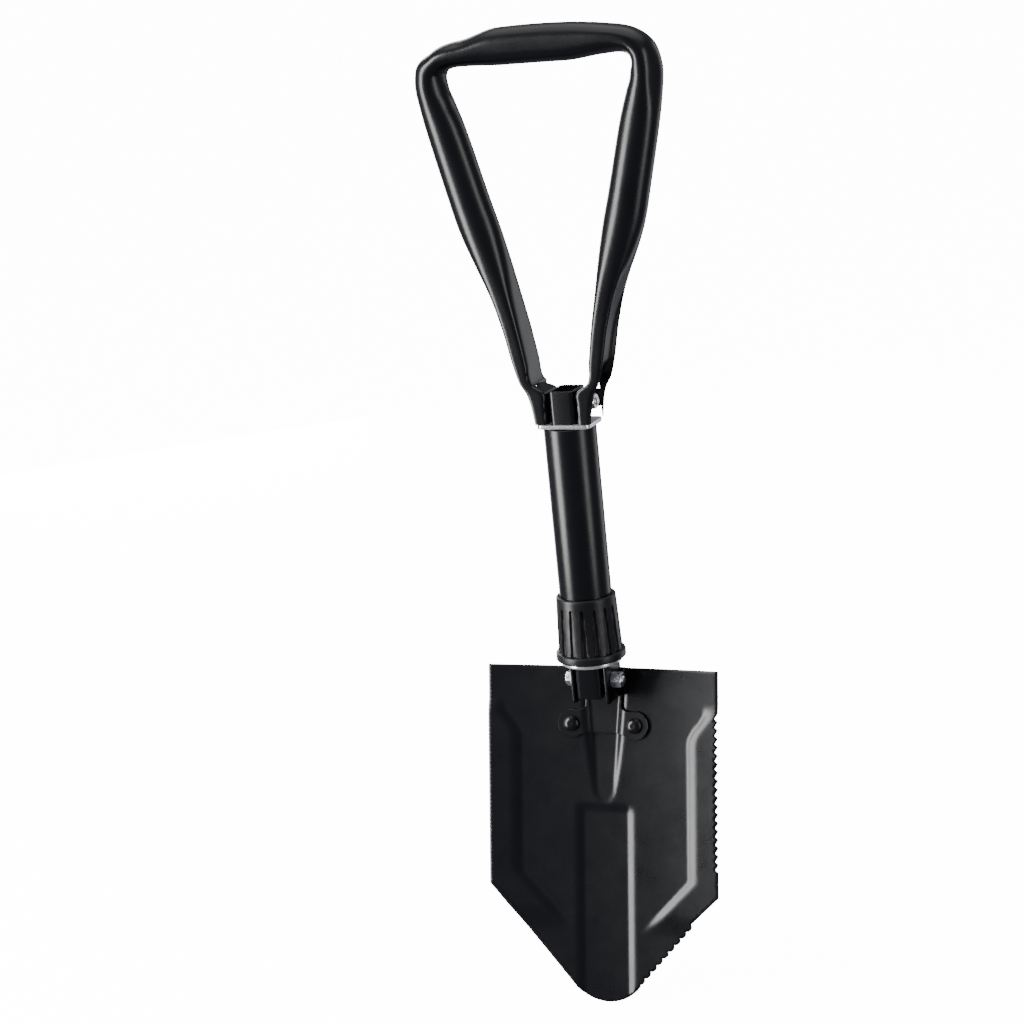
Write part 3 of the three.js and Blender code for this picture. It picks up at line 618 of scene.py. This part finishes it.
def station_at(at):
    """The handle's section at a station number, with smooth change between the listed ones."""
    last = len(HANDLE_STATIONS) - 1
    i = min(int(at), last - 1)
    t = at - i
    rows = [np.array(HANDLE_STATIONS[max(0, min(last, i + k))], float) for k in (-1, 0, 1, 2)]
    if i + 2 > last:
        rows[3] = rows[1] * [-1, 1, -1, 1, 1, 1] + [0, 0, 180, 0, 0, 0]
    slopes = []
    for k in (1, 2):
        before = np.hypot(*(rows[k] - rows[k - 1])[:2]) or 1.0
        span = np.hypot(*(rows[2] - rows[1])[:2])
        after = np.hypot(*(rows[min(k + 1, 3)] - rows[k])[:2]) or 1.0
        slope = (rows[min(k + 1, 3)] - rows[k - 1]) / (before + after) * span
        slopes.append(slope)
    h = (2 * t**3 - 3 * t**2 + 1, t**3 - 2 * t**2 + t, -2 * t**3 + 3 * t**2, t**3 - t**2)
    return h[0] * rows[1] + h[1] * slopes[0] + h[2] * rows[2] + h[3] * slopes[1]


def section_angles(a, b):
    """Directions round a section, closest where the pressed channel's flanges turn."""
    turn = math.atan2(b - CHANNEL_WALL, a)
    step = math.radians(1.6)
    half = list(np.linspace(0, turn - 2 * step, 20)[:-1])
    half += [turn - 2 * step, turn - step, turn, turn + step, turn + 2 * step]
    half += list(np.linspace(turn + 2 * step, math.pi, 26)[1:])
    return half + [-phi for phi in half[-2:0:-1]]


def handle_ring(at, side):
    x, z, tilt, a, b, square = station_at(at)
    tilt = math.radians(tilt)
    lean = math.degrees(tilt)
    press = CORNER_PRESS[side] * float(smoothstep(30, 62, lean) * smoothstep(22, 46, x)) / 2
    pinch = CORNER_PINCH[side] * float(smoothstep(30, 66, lean) * smoothstep(18, 60, x))
    x += (pinch - press) * math.cos(tilt)
    z += (pinch - press) * math.sin(tilt)
    a -= press + pinch
    power = 2 / max(square, 0.2)
    channel = 1 - float(smoothstep(RECESS_FADE, RECESS_TOP, z))
    shallow = float(smoothstep(13.2, 25, z))
    flange = b - CHANNEL_WALL
    ring = []
    for phi in section_angles(a, b):
        c, s = math.cos(phi), math.sin(phi)
        r = (abs(c / a) ** power + abs(s / b) ** power) ** (-1 / power)
        out, deep = r * c, r * s
        if c > 0 and channel > 0:
            inside = 1 - float(smoothstep(flange - mix(0.45, 3.2, shallow), flange + 0.05, abs(deep)))
            web = mix(-a + CHANNEL_WALL, a - RECESS, shallow)
            out = mix(out, min(out, web), inside * channel)
        ring.append((side * (x + out * math.cos(tilt)), deep, z + out * math.sin(tilt)))
    return ring


# Where the bends have buckled: side, centre across, front to back and above the pivot, size, depth.
DENTS = [
    (-1, 58.0, -8.0, 192.0, (6.0, 9.0, 9.0), 1.6),
    (-1, 60.0, -6.0, 180.0, (9.0, 8.0, 5.0), 0.9),
    (1, 74.0, -5.0, 190.0, (4.5, 7.0, 15.0), 1.8),
    (1, 50.0, -5.0, 201.5, (11.0, 8.0, 4.0), 1.2),
    (1, 66.0, -7.5, 208.0, (6.0, 6.0, 6.0), 0.9),
]


def dented(point):
    x, y, z = point
    centre = Vector((0, 0, 120))
    for side, dx, dy, dz, size, depth in DENTS:
        if side * x < 0:
            continue
        off = ((abs(x) - dx) / size[0], (y - dy) / size[1], (z - dz) / size[2])
        weight = math.exp(-sum(value * value for value in off))
        path = Vector((side * 56 if dz < 200 else x * 0.95, 0, min(z, 196)))
        inward = (path - Vector(point)).normalized()
        x, y, z = Vector((x, y, z)) + inward * depth * weight
    return x, y, z


def handle_frame():
    last = len(HANDLE_STATIONS) - 1
    steps = [k / 12 for k in range(12 * last + 1)]
    right = [handle_ring(at, 1) for at in steps]
    left = [handle_ring(at, -1) for at in steps[:-1]][::-1]
    rings = [[dented(p) for p in ring] for ring in right + left]
    verts, faces = ring_skin(rings)
    verts = moved(verts, HANDLE_PIVOT)
    obj = write_object("bent_tube_handle", verts, faces, COAT, crease=40)

    # The ears' rear corners roll past the end plate as the handle folds back.
    y, z = HANDLE_PIVOT.y, HANDLE_PIVOT.z
    outline = [(0, -14), (16, -14), (16, 14), (EAR_CUT_FRONT, 14)]
    start = math.acos(EAR_CUT_FRONT / EAR_SWING_R)
    for k in range(33):
        turn = mix(start, -math.pi / 2, k / 32)
        outline.append((EAR_SWING_R * math.cos(turn), EAR_SWING_R * math.sin(turn)))
    reach = LEG_CLEAR_X
    rings = [[(x, py + y, pz + z) for py, pz in outline] for x in (-reach, reach)]
    cut_verts, cut_faces = ring_skin(rings)
    cutter = write_object("ear_cutter", cut_verts, cut_faces, COAT)
    apply_boolean(obj, cutter)
    finish_mesh(obj, 34)
    return place(
        obj, "handle", "handle_grip",
        "handle_leg_left", "handle_leg_right", "handle_foot_left", "handle_foot_right")


# ---- blade ----------------------------------------------------------------------------------------------

BLADE_W = 152.0
BLADE_LEN = 210.6
BLADE_THICK = 1.8
BLADE_PITCH = math.radians(12.7)
BLADE_TOP = Vector((0, 11.5, 3.0))
SHOULDER = 139.0
TIP_R = 28.0
SAW_FROM, SAW_TEETH, SAW_PITCH, SAW_DEPTH = 25.5, 19, 5.15, 1.9
SCALLOP_FROM, SCALLOPS, SCALLOP_PITCH, SCALLOP_DEPTH = 26.0, 9, 6.05, 2.1
DISH = 5.2
STEP, STEP_X, STEP_RUN = 1.5, 55.5, 7.5
SOCKET_DEPTH, SOCKET_LEN = 3.0, 92.0
CHANNEL_DEPTH, CHANNEL_X, CHANNEL_RUN, CHANNEL_FROM = 1.3, 15.0, 6.0, 84.0
EDGE_ROUND = 0.28

BLADE_FRAME = Matrix((
    (1, 0, 0, 0),
    (0, -math.sin(BLADE_PITCH), math.cos(BLADE_PITCH), 0),
    (0, -math.cos(BLADE_PITCH), -math.sin(BLADE_PITCH), 0),
    (0, 0, 0, 1),
))
BLADE_FRAME.translation = BLADE_TOP + BLADE_PIVOT


def blade_depth(x, v):
    """How far the blade's front surface lies behind its rim, across and down the blade."""
    x, v = np.abs(np.asarray(x, float)), np.asarray(v, float)
    dish = DISH * (1 - (x / (BLADE_W / 2)) ** 2)
    outwards = 11 * (1 - smoothstep(26, 48, v)) ** 1.5
    inwards = np.maximum(0, v - 131) * 0.95
    edge = STEP_X + outwards - inwards
    fade = smoothstep(20, 30, v) * (1 - smoothstep(150, 168, v))
    rise = np.clip((x - edge) / STEP_RUN, 0, 1)
    step = STEP * (1 - fade * (1 - (1 - rise) ** 2))
    along = np.clip(v / SOCKET_LEN, 0, 1)
    brow = mix(17.5, 9.5, along) * np.sqrt(np.maximum(0, 1 - along**6))
    floor = np.maximum(0, mix(11.5, 4.5, along) - 9 * smoothstep(0.85, 1, along))
    depth = SOCKET_DEPTH * (1 - smoothstep(0.3, 1.05, along))
    slope = np.clip((x - floor) / np.maximum(brow - floor, 0.5), 0, 1)
    socket = depth * (1 - slope) ** 2
    channel = CHANNEL_DEPTH * smoothstep(CHANNEL_FROM, CHANNEL_FROM + 8, v) * (
        1 - np.clip((x - CHANNEL_X) / CHANNEL_RUN, 0, 1)) ** 2
    return dish + step + np.maximum(socket, channel)


def blade_outline():
    """The blade's edge, once round, in (across, down)."""
    half = BLADE_W / 2
    shoulder, centre = Vector((half, SHOULDER)), Vector((0, BLADE_LEN - TIP_R))
    to_centre = centre - shoulder
    lower = math.atan2(to_centre.y, to_centre.x) - math.asin(TIP_R / to_centre.length)
    direction = Vector((math.cos(lower), math.sin(lower)))
    touch = shoulder + direction * math.sqrt(to_centre.length**2 - TIP_R**2)
    inward = Vector((-direction.y, direction.x))
    if inward.dot(to_centre) < 0:
        inward.negate()

    points = [(-half, 0), (half, 0)]
    for i in range(SAW_TEETH):
        v = SAW_FROM + i * SAW_PITCH
        points += [(half, v), (half, v + 0.06 * SAW_PITCH)]
        points += [(half - SAW_DEPTH, v + 0.66 * SAW_PITCH), (half - SAW_DEPTH, v + 0.72 * SAW_PITCH)]
    points += [(half, SAW_FROM + SAW_TEETH * SAW_PITCH), tuple(shoulder)]
    for i in range(SCALLOPS):
        for k in range(11):
            t = k / 11
            along = SCALLOP_FROM + (i + t) * SCALLOP_PITCH
            inset = SCALLOP_DEPTH * (1 - math.sin(math.pi * t) ** 0.6)
            points.append(tuple(shoulder + direction * along + inward * inset))
    points.append(tuple(shoulder + direction * (SCALLOP_FROM + SCALLOPS * SCALLOP_PITCH)))
    start = math.atan2(touch.y - centre.y, touch.x)
    for k in range(49):
        turn = mix(start, math.pi - start, k / 48)
        points.append((TIP_R * math.cos(turn), centre.y + TIP_R * math.sin(turn)))
    points.append((-shoulder.x, shoulder.y))
    return points


def subdivided(points, spacing):
    result = []
    for i, point in enumerate(points):
        after = points[(i + 1) % len(points)]
        count = max(1, round(math.dist(point, after) / spacing))
        result += [
            (mix(point[0], after[0], k / count), mix(point[1], after[1], k / count)) for k in range(count)]
    return result


def inset_outline(points, distance):
    """The outline moved inwards, mitred, with very sharp mitres held back."""
    loop = np.array(points)
    before, after = loop - np.roll(loop, 1, 0), np.roll(loop, -1, 0) - loop
    normals = []
    for edge in (before, after):
        unit = edge / np.linalg.norm(edge, axis=1)[:, None]
        normals.append(np.stack([-unit[:, 1], unit[:, 0]], 1))
    area = (loop[:, 0] * np.roll(loop[:, 1], -1) - np.roll(loop[:, 0], -1) * loop[:, 1]).sum()
    normal = (normals[0] + normals[1]) * (1 if area > 0 else -1)
    normal /= np.maximum(np.linalg.norm(normal, axis=1), 0.3)[:, None]
    lean = np.abs((normal * normals[0]).sum(1))
    return loop + normal * (distance / np.maximum(lean, 0.45))[:, None]


def inside_outline(points, loop):
    x, y = points[:, 0][:, None], points[:, 1][:, None]
    x0, y0 = loop[:, 0][None], loop[:, 1][None]
    x1, y1 = np.roll(loop[:, 0], -1)[None], np.roll(loop[:, 1], -1)[None]
    crosses = (y0 > y) != (y1 > y)
    with np.errstate(divide="ignore", invalid="ignore"):
        at = x0 + (y - y0) / (y1 - y0) * (x1 - x0)
    return ((crosses & (x < at)).sum(1) % 2).astype(bool)


def fill_points(loop, spacing):
    """Lattice points inside a loop and clear of it."""
    low, high = loop.min(0), loop.max(0)
    rows = np.arange(low[1], high[1], spacing * 0.866)
    points = np.array([
        (x + (k % 2) * spacing / 2, y)
        for k, y in enumerate(rows) for x in np.arange(low[0], high[0], spacing)
    ])
    points = points[inside_outline(points, loop)]
    keep = np.ones(len(points), bool)
    a, b = loop, np.roll(loop, -1, 0)
    for start in range(0, len(points), 2000):
        p = points[start:start + 2000, None]
        along = np.clip(((p - a) * (b - a)).sum(2) / ((b - a) ** 2).sum(1), 0, 1)
        nearest = a + along[..., None] * (b - a)
        keep[start:start + 2000] = np.linalg.norm(p - nearest, axis=2).min(1) > spacing * 0.55
    return points[keep]


def formed_sheet(name, outline, front, thick, spacing, material):
    """A pressed sheet on the blade's surface, its front face `front` ahead of it, with rounded edges."""
    outer = np.array(subdivided(outline, spacing))
    inner = inset_outline(outer, EDGE_ROUND)
    count = len(outer)
    field = fill_points(inner, spacing)
    flat = np.vstack([inner, field])
    edges = [(i, (i + 1) % count) for i in range(count)]
    points, _, faces, origin, _, _ = delaunay_2d_cdt(
        [Vector(p) for p in flat], edges, [list(range(count))], 1, 1e-5)
    at = np.array([tuple(p) for p in points])
    rim = {}
    for index, sources in enumerate(origin):
        for source in sources:
            if source < count:
                rim[source] = index
    total = len(at)
    depth = blade_depth(at[:, 0], at[:, 1]) - front
    edge_depth = blade_depth(outer[:, 0], outer[:, 1]) - front
    stack = [
        np.column_stack([at, depth]), np.column_stack([at, depth + thick]),
        np.column_stack([outer, edge_depth + EDGE_ROUND]),
        np.column_stack([outer, edge_depth + thick - EDGE_ROUND]),
    ]
    verts = [BLADE_FRAME @ Vector(p) for p in np.vstack(stack)]
    skin = [tuple(f) for f in faces] + [tuple(i + total for i in reversed(f)) for f in faces]
    near, far = 2 * total, 2 * total + count
    for i in range(count):
        k = (i + 1) % count
        skin.append((rim[i], rim[k], near + k, near + i))
        skin.append((near + i, near + k, far + k, far + i))
        skin.append((far + i, far + k, rim[k] + total, rim[i] + total))
    obj = write_object(name, verts, skin, material, crease=50)
    return obj


def mark_wear(obj):
    """Vertex masks for the wear: the rim, and the working end round the point."""
    inverse = BLADE_FRAME.inverted()
    loop = np.array(subdivided(blade_outline(), 1.0))
    places = np.array([tuple(inverse @ (v.co / MM)) for v in obj.data.vertices])
    edge = obj.data.attributes.new("edge", "FLOAT", "POINT")
    point = obj.data.attributes.new("point", "FLOAT", "POINT")
    near = np.empty(len(places))
    for start in range(0, len(places), 4000):
        gap = np.linalg.norm(places[start:start + 4000, None, :2] - loop, axis=2).min(1)
        near[start:start + 4000] = gap
    worn = (1 - smoothstep(0.1, 0.9, near)) * smoothstep(60, 150, places[:, 1])
    edge.data.foreach_set("value", worn.astype(np.float32))
    point.data.foreach_set("value", smoothstep(120, 185, places[:, 1]).astype(np.float32))


def blade():
    obj = formed_sheet("pressed_blade", blade_outline(), 0, BLADE_THICK, 1.5, BLADE_COAT)
    mark_wear(obj)
    return place(obj, "blade_assembly", "blade")


# ---- bracket and rivets ---------------------------------------------------------------------------------

SHEET_GAP = 0.3
BRACKET_THICK = 1.8
EAR_IN = 10.1
EAR_FRONT = -8.0
EAR_TOP = 11.3
EAR_LOW = -14.2
NECK_FROM = 8.0
NECK_TO = 41.5
RIVET_X = 21.0
RIVET_V = 35.8
LOBE_R = 8.9


def bracket_outline():
    """The bracket's base, once round: a neck down from the ears and a lobe for each rivet."""
    neck = EAR_IN + BRACKET_THICK
    right = [(neck, NECK_FROM), (neck, RIVET_V - LOBE_R - 2.5)]
    for k in range(1, 7):
        t = k / 6
        down = mix(RIVET_V - LOBE_R - 2.5, RIVET_V - LOBE_R + 0.35, math.sin(t * math.pi / 2))
        right.append((mix(neck, RIVET_X - 2.5, t**1.6), down))
    for k in range(29):
        turn = math.pi * mix(-0.56, 0.72, k / 28)
        right.append((RIVET_X + LOBE_R * math.cos(turn), RIVET_V + LOBE_R * math.sin(turn)))
    right.append((neck - 0.6, NECK_TO + 0.1))
    right.append((neck - 3, NECK_TO))
    return right + [(-x, v) for x, v in reversed(right)]


def ear_outline():
    """One ear in (front to back, up) from the pivot."""
    def base(v):
        depth = float(blade_depth(EAR_IN + BRACKET_THICK, v)) - SHEET_GAP - BRACKET_THICK / 2
        return (BLADE_FRAME @ Vector((0, v, depth)) - BLADE_PIVOT).yz

    def arc(centre, radius, start, end, steps=8):
        turns = [math.radians(mix(start, end, k / steps)) for k in range(steps + 1)]
        return [(centre[0] + radius * math.cos(t), centre[1] + radius * math.sin(t)) for t in turns]

    high, low = base(NECK_FROM), base(17)
    points = arc((EAR_FRONT + 2, EAR_TOP - 2), 2, 180, 90)
    points += arc((14, EAR_TOP - 2.5), 2.5, 90, 10)
    points += [tuple(high), tuple(low), (7, EAR_LOW)]
    points += arc((EAR_FRONT + 2, EAR_LOW + 2.2), 2, 262, 180)
    return points


def bevelled_plate(outline, start, end, bevel=0.3):
    """A flat plate along X from an outline in (y, z), with its two rims rounded."""
    inner = inset_outline(outline, bevel)
    between = mix(inner, np.array(outline), 0.7)
    loops = [(start, inner), (start + bevel * 0.3, between), (start + bevel, outline),
             (end - bevel, outline), (end - bevel * 0.3, between), (end, inner)]
    return ring_skin([[(x, y, z) for y, z in loop] for x, loop in loops])


def blade_bracket():
    obj = formed_sheet(
        "hinge_bracket", bracket_outline(), SHEET_GAP + BRACKET_THICK, BRACKET_THICK, 1.1, COAT)
    outline = ear_outline()
    for side in (1, -1):
        ends = sorted((side * EAR_IN, side * (EAR_IN + BRACKET_THICK)))
        verts, faces = bevelled_plate(outline, *ends)
        ear = write_object("ear", moved(verts, BLADE_PIVOT), faces, COAT)
        apply_boolean(obj, ear, "UNION")
    finish_mesh(obj, 34)
    return place(obj, "blade_assembly", "blade_bracket")


def rivet(name, node, side):
    dome_r, dome_h, tail_r, tail_h = 4.9, 2.4, 4.2, 1.4
    seat = -(2 * SHEET_GAP + BRACKET_THICK)
    back = BLADE_THICK + SHEET_GAP
    profile = [(0.0, seat - dome_h + 0.02), (1.0, seat - dome_h)]
    for k in range(11):
        turn = math.radians(mix(68, 0, k / 10))
        profile.append((dome_r * math.cos(turn), seat - dome_h * math.sin(turn) - 0.25))
    profile += [(dome_r, seat), (2.5, seat), (2.5, back), (tail_r, back), (tail_r, back + 0.5)]
    profile += [(tail_r - 0.9, back + tail_h), (0.0, back + tail_h)]
    verts, faces = revolve(lambda t, r, z: r, profile, 64)
    slope = side * math.atan(2 * DISH * RIVET_X / (BLADE_W / 2) ** 2)
    centre = Vector((side * RIVET_X, RIVET_V, float(blade_depth(RIVET_X, RIVET_V))))
    place_at = BLADE_FRAME @ Matrix.Translation(centre) @ Matrix.Rotation(slope, 4, "Y")
    obj = write_object(name, [place_at @ Vector(v) for v in verts], faces, COAT, crease=40)
    return place(obj, "blade_assembly", node)


# ---- building -------------------------------------------------------------------------------------------

COAT = powder_coat("black_powder_coat")
BLADE_COAT = powder_coat("blade_powder_coat", wear=0.08)
ZINC = zinc_plate("bright_zinc")
ZINC_FASTENER = zinc_plate("zinc_fasteners", metallic=0.97)
NYLON = moulded_nylon("moulded_nylon")
STEEL = machined_steel("machined_steel")

core_strut()
shaft_tube()
top_plate()
lock_collar()
thrust_ring()
handle_frame()
blade()
blade_bracket()
rivet("left_rivet", "rivet_left", -1)
rivet("right_rivet", "rivet_right", 1)
hex_bolt("handle_hinge_bolt", "handle_bolt", HANDLE_PIVOT)
hex_bolt("blade_hinge_bolt", "blade_bolt", BLADE_PIVOT)
washer("handle_washer_l", "handle_washer_left", HANDLE_PIVOT)
washer("handle_washer_r", "handle_washer_right", HANDLE_PIVOT)
washer("blade_hinge_washer", "blade_washer", BLADE_PIVOT)
hex_nut("handle_hinge_nut", "handle_nut", HANDLE_PIVOT)
hex_nut("blade_hinge_nut", "blade_nut", BLADE_PIVOT)

for node in ("threaded_sleeve", "collar_insert", "handle_bush", "blade_bush"):
    for material_slot in frame["nodes"][node].material_slots:
        material_slot.material = STEEL


# ---- stage, light and camera ----------------------------------------------------------------------------


BACKDROP = 14.0  # how brightly the floor and the room beyond it are seen


def floor():
    size = 60.0
    mesh = bpy.data.meshes.new("floor")
    level = CAD_BOUNDS[0][2] - 0.0002
    corners = [(-size, -size), (size, -size), (size, size), (-size, size)]
    mesh.from_pydata([(x, y, level) for x, y in corners], [], [(0, 1, 2, 3)])
    obj = bpy.data.objects.new("floor", mesh)
    bpy.context.scene.collection.objects.link(obj)
    shader = Shader("pale_floor", (0.86, 0.86, 0.86), 0.8, specular=0.1)
    shader.set("Base Color", shader.blend(shader.noise(3, 2), (0.85, 0.85, 0.85), (0.88, 0.88, 0.88)))
    mesh.materials.append(shader.material)
    shader.principled.inputs["Emission Color"].default_value = (1, 1, 1, 1)
    shader.principled.inputs["Emission Strength"].default_value = BACKDROP
    # The floor neither lights the tool nor shows in its coat, which mirrors the softboxes and dim room.
    obj.visible_diffuse = False
    obj.visible_glossy = False


def softbox(name, azimuth, elevation, distance, width, height, power):
    """A rectangular softbox aimed at the middle of the shaft, placed as the camera's view is."""
    a, e = math.radians(azimuth), math.radians(elevation)
    away = Vector((math.sin(a) * math.cos(e), -math.cos(a) * math.cos(e), math.sin(e)))
    light = bpy.data.lights.new(name, "AREA")
    light.shape = "RECTANGLE"
    light.size, light.size_y = width, height
    light.energy = power
    obj = bpy.data.objects.new(name, light)
    obj.location = Vector((0, 0, BLADE_PIVOT.z * MM + 0.115)) + away * distance
    obj.rotation_euler = away.to_track_quat("Z", "Y").to_euler()
    bpy.context.scene.collection.objects.link(obj)


def overhead_light(strength):
    light = bpy.data.lights.new("overhead", "SUN")
    light.energy = strength
    light.angle = math.radians(70)
    obj = bpy.data.objects.new("overhead", light)
    obj.rotation_euler = (math.radians(-8), 0, 0)
    bpy.context.scene.collection.objects.link(obj)


def surroundings(ambient, seen):
    """A dim room to light the tool, seen from the camera as a white one."""
    world = bpy.data.worlds.new("studio")
    world.use_nodes = True
    nodes, links = world.node_tree.nodes, world.node_tree.links
    background = nodes["Background"]
    background.inputs["Color"].default_value = (0.93, 0.95, 1.14, 1)
    background.inputs["Strength"].default_value = ambient
    white = nodes.new("ShaderNodeBackground")
    white.inputs["Color"].default_value = (1, 1, 1, 1)
    white.inputs["Strength"].default_value = seen
    path = nodes.new("ShaderNodeLightPath")
    choose = nodes.new("ShaderNodeMixShader")
    links.new(path.outputs["Is Camera Ray"], choose.inputs[0])
    links.new(background.outputs[0], choose.inputs[1])
    links.new(white.outputs[0], choose.inputs[2])
    links.new(choose.outputs[0], nodes["World Output"].inputs["Surface"])
    bpy.context.scene.world = world


CAMERA_AZIMUTH = math.radians(24.0)
CAMERA_ELEVATION = math.radians(14.1)
CAMERA_ROLL = math.radians(5.75)
CAMERA_DISTANCE = 1.505
CAMERA_LENS = 86.4
AIM = Vector((-0.0435, SHAFT_Y * MM, BLADE_PIVOT.z * MM + 0.106))


def camera():
    a, e = CAMERA_AZIMUTH, CAMERA_ELEVATION
    back = Vector((math.sin(a) * math.cos(e), -math.cos(a) * math.cos(e), math.sin(e)))
    level = Vector((math.cos(a), math.sin(a), 0))
    upright = back.cross(level)
    right = level * math.cos(CAMERA_ROLL) - upright * math.sin(CAMERA_ROLL)
    up = level * math.sin(CAMERA_ROLL) + upright * math.cos(CAMERA_ROLL)
    data = bpy.data.cameras.new("camera")
    data.lens = CAMERA_LENS
    data.sensor_width = 36
    data.clip_end = 200
    obj = bpy.data.objects.new("camera", data)
    obj.matrix_world = Matrix.Translation(AIM + back * CAMERA_DISTANCE) @ Matrix(
        (right, up, back)).transposed().to_4x4()
    bpy.context.scene.collection.objects.link(obj)
    bpy.context.scene.camera = obj


floor()
softbox("left_softbox", -52.5, 10, 1.6, 0.66, 1.9, 76)
softbox("right_softbox", 72, 8, 1.7, 0.5, 1.9, 14)
softbox("rear_left_softbox", -140, 8, 1.8, 0.6, 1.9, 14)
softbox("rear_right_softbox", 150, 0, 1.8, 0.8, 2.0, 6)
overhead_light(1.5)
surroundings(0.2, BACKDROP)
camera()
